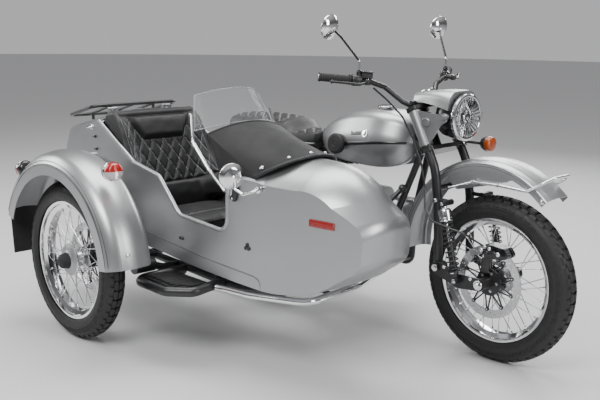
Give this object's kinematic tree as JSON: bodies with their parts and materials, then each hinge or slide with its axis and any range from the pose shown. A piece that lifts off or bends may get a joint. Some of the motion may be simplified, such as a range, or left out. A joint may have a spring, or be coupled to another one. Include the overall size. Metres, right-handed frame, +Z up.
{
  "type": "sidecar motorcycle",
  "caption": "Boxer twin motorcycle with a leading-link fork and a passenger sidecar, screen, boot lid and rack on its right.",
  "frame": {"origin": "on the ground under the middle of the whole machine", "axes": "+X forward, +Y to the rider's left, +Z up"},
  "size_m": [2.314, 1.6842, 1.3941],
  "materials": {
    "paint_silver": "satin silver paint",
    "frame_black": "satin black",
    "spring_black": "satin black with polished ends",
    "engine_alloy": "cast",
    "chrome": "polished",
    "tyre": "matte",
    "rubber_black": "matte",
    "seat_vinyl": "soft black vinyl",
    "screen_clear": "clear",
    "lamp_clear": "clear",
    "lamp_amber": "translucent amber",
    "lamp_red": "translucent red"
  },
  "bodies": {
    "chassis": {"frame": "frame_black", "engine_case": "engine_alloy", "cylinders": "engine_alloy", "intakes": "engine_alloy", "exhausts": "chrome", "final_drive": "frame_black", "swingarm": "frame_black", "rear_shocks": "spring_black", "rear_fender": "paint_silver", "tail_lamp": "lamp_red", "saddle": "seat_vinyl", "fuel_tank": "paint_silver", "knee_pads": "rubber_black", "fuel_cap": "chrome", "sidecar_chassis": "frame_black", "sidecar_swing_arm": "frame_black", "sidecar_shock": "spring_black", "sidecar_body": "paint_silver", "sidecar_cushion": "seat_vinyl", "sidecar_backrest": "seat_vinyl", "cockpit_apron": "seat_vinyl", "windscreen": "screen_clear", "screen_brackets": "chrome", "sidecar_mirror": "chrome", "sidecar_fender": "paint_silver", "fender_lamps": "lamp_red", "mud_flap": "rubber_black", "side_step": "frame_black", "bumper_tube": "chrome"},
    "trunk_lid": {"trunk_lid": "paint_silver", "luggage_rack": "frame_black"},
    "fork": {"fork_tubes": "frame_black", "fork_shrouds": "paint_silver", "leading_links": "frame_black", "front_shocks": "spring_black", "front_caliper": "frame_black", "front_fender": "paint_silver", "fender_rail": "chrome", "headlamp_shell": "frame_black", "headlamp_lens": "lamp_clear", "nacelle": "paint_silver", "handlebar": "frame_black", "bar_controls": "rubber_black", "mirrors": "chrome", "front_indicator": "lamp_amber", "brake_hose": "frame_black"},
    "front_wheel": {"front_tyre": "tyre", "front_laced_wheel": "chrome"},
    "rear_wheel": {"rear_tyre": "tyre", "rear_laced_wheel": "chrome"},
    "side_wheel": {"side_tyre": "tyre", "side_laced_wheel": "chrome"}
  },
  "joints": [
    {"name": "steering", "type": "hinge", "parent": "chassis", "child": "fork", "pos_m": [0.43904, 0.4029, 0.9], "axis": [-0.4651, 0, 0.8852], "range_deg": [-35, 35]},
    {"name": "front_wheel_spin", "type": "hinge", "parent": "fork", "child": "front_wheel", "pos_m": [0.81204, 0.4029, 0.345], "axis": [0, 1, 0], "continuous": true},
    {"name": "rear_wheel_spin", "type": "hinge", "parent": "chassis", "child": "rear_wheel", "pos_m": [-0.66796, 0.4029, 0.345], "axis": [0, 1, 0], "continuous": true},
    {"name": "side_wheel_spin", "type": "hinge", "parent": "chassis", "child": "side_wheel", "pos_m": [-0.57296, -0.7321, 0.345], "axis": [0, 1, 0], "continuous": true},
    {"name": "trunk_lid_hinge", "type": "hinge", "parent": "chassis", "child": "trunk_lid", "pos_m": [-0.81496, -0.2321, 0.95318], "axis": [0, 1, 0], "range_deg": [0, 70]}
  ]
}
